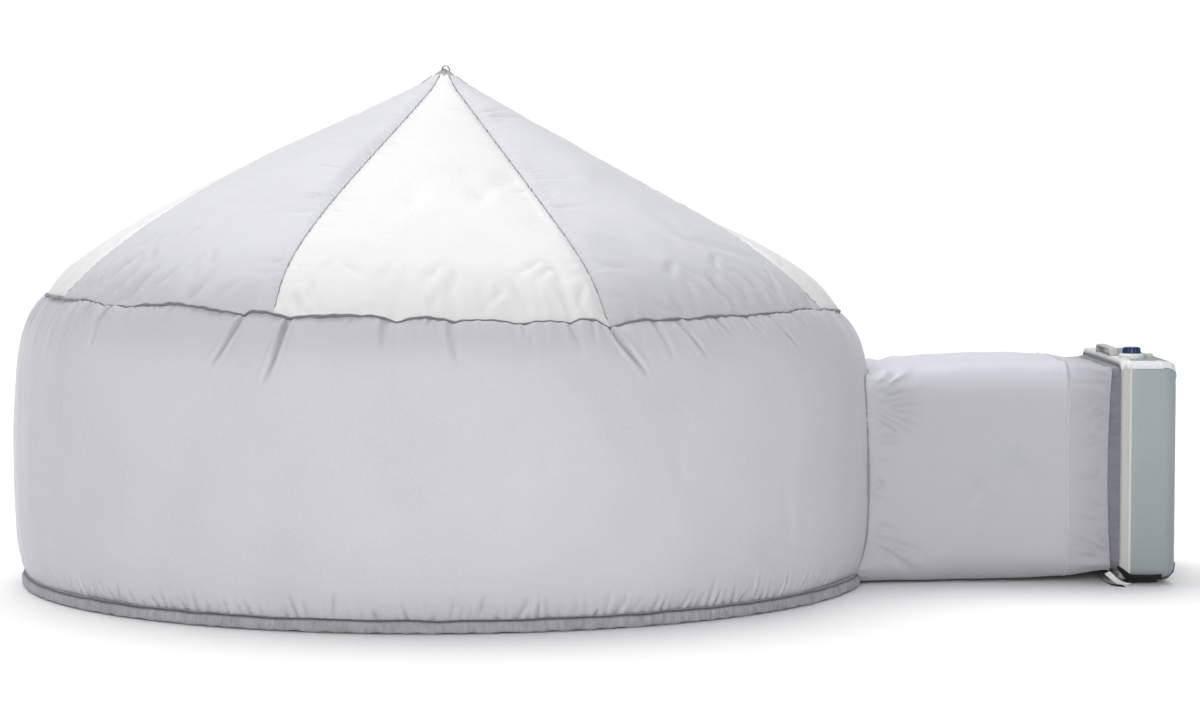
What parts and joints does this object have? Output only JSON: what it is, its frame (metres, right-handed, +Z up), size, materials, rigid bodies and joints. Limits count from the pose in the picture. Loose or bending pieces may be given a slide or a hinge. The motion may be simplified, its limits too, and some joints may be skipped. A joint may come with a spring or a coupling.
{
  "type": "inflatable play tent with box fan",
  "caption": "Round dome play tent of thin nylon, blown up by a square box fan through a fabric tunnel, with a hung door flap and a floor sheet.",
  "frame": {"origin": "centre of the round floor sheet's underside, on the ground", "axes": "+X from the tent to the fan, +Y towards the doorway, +Z up"},
  "size_m": [2.787, 2.0794, 1.2479],
  "materials": {
    "white_nylon": "thin white nylon with a soft sheen",
    "grey_nylon": "thin pale grey nylon with a soft sheen",
    "wall_nylon": "thin grey nylon with a soft sheen",
    "hem_nylon": "gathered darker nylon",
    "floor_nylon": "coated nylon groundsheet",
    "seam_tape": "woven binding tape",
    "white_webbing": "flat white webbing",
    "black_webbing": "flat black webbing",
    "sage_enamel": "sage grey enamel on sheet steel",
    "white_plastic": "moulded off-white plastic",
    "grey_plastic": "moulded warm grey plastic",
    "blue_plastic": "dark blue knob plastic",
    "dark_plastic": "moulded dark plastic",
    "bright_steel": "ground and laminated steel",
    "zinc_steel": "zinc-plated steel",
    "bronze": "sintered bronze",
    "lead_cover": "black lead insulation"
  },
  "bodies": {
    "tent_and_fan": {"apex_cap": "seam_tape", "apex_loop": "seam_tape", "base_hem": "hem_nylon", "bearing_front": "bronze", "bearing_rear": "bronze", "carry_handle": "grey_plastic", "cord_gland": "dark_plastic", "door_binding": "seam_tape", "eave_binding": "seam_tape", "fan_housing": "sage_enamel", "floor_sheet": "floor_nylon", "foot_far": "dark_plastic", "foot_near": "dark_plastic", "front_grille": "white_plastic", "grille_side_screw_far": "zinc_steel", "grille_side_screw_near": "zinc_steel", "knob_plate": "white_plastic", "motor_front_bell": "zinc_steel", "motor_lead": "lead_cover", "motor_rail_far": "zinc_steel", "motor_rail_near": "zinc_steel", "motor_rear_bell": "zinc_steel", "motor_stator": "bright_steel", "rear_grille": "dark_plastic", "rear_screw_1": "zinc_steel", "rear_screw_2": "zinc_steel", "rear_screw_3": "zinc_steel", "rear_screw_4": "zinc_steel", "roof_panel_grey_1": "grey_nylon", "roof_panel_grey_2": "grey_nylon", "roof_panel_grey_3": "grey_nylon", "roof_panel_grey_4": "grey_nylon", "roof_panel_white_1": "white_nylon", "roof_panel_white_2": "white_nylon", "roof_panel_white_3": "white_nylon", "roof_panel_white_4": "white_nylon", "rotary_switch": "dark_plastic", "strap_bottom_far": "black_webbing", "strap_bottom_near": "black_webbing", "strap_hook_bottom_far": "zinc_steel", "strap_hook_bottom_near": "zinc_steel", "strap_hook_top_far": "zinc_steel", "strap_hook_top_near": "zinc_steel", "strap_top_far": "white_webbing", "strap_top_near": "white_webbing", "tunnel_collar": "hem_nylon", "tunnel_sleeve": "wall_nylon", "venturi_ring": "white_plastic", "wall_back_left_panel": "wall_nylon", "wall_back_right_panel": "wall_nylon", "wall_door_panel": "wall_nylon", "wall_front_panel": "wall_nylon", "wall_inlet_panel": "wall_nylon"},
    "fan_rotor": {"fan_blade": "white_plastic", "blade_nut": "dark_plastic", "motor_shaft": "bright_steel", "motor_rotor": "bright_steel"},
    "speed_selector": {"control_knob": "blue_plastic", "switch_shaft": "bright_steel"},
    "door": {"door_flap": "wall_nylon"}
  },
  "joints": [
    {"name": "blade_spin", "type": "hinge", "parent": "tent_and_fan", "child": "fan_rotor", "pos_m": [1.666, 0, 0.2735], "axis": [1, 0, 0], "continuous": true},
    {"name": "knob_turn", "type": "hinge", "parent": "tent_and_fan", "child": "speed_selector", "pos_m": [1.655, -0.15, 0.5481], "axis": [0, 0, -1], "range_deg": [0, 135]},
    {"name": "door_flap_swing", "type": "hinge", "parent": "tent_and_fan", "child": "door", "pos_m": [0, 1.0135, 0.585], "axis": [1, 0, 0], "range_deg": [-70, 80]}
  ]
}
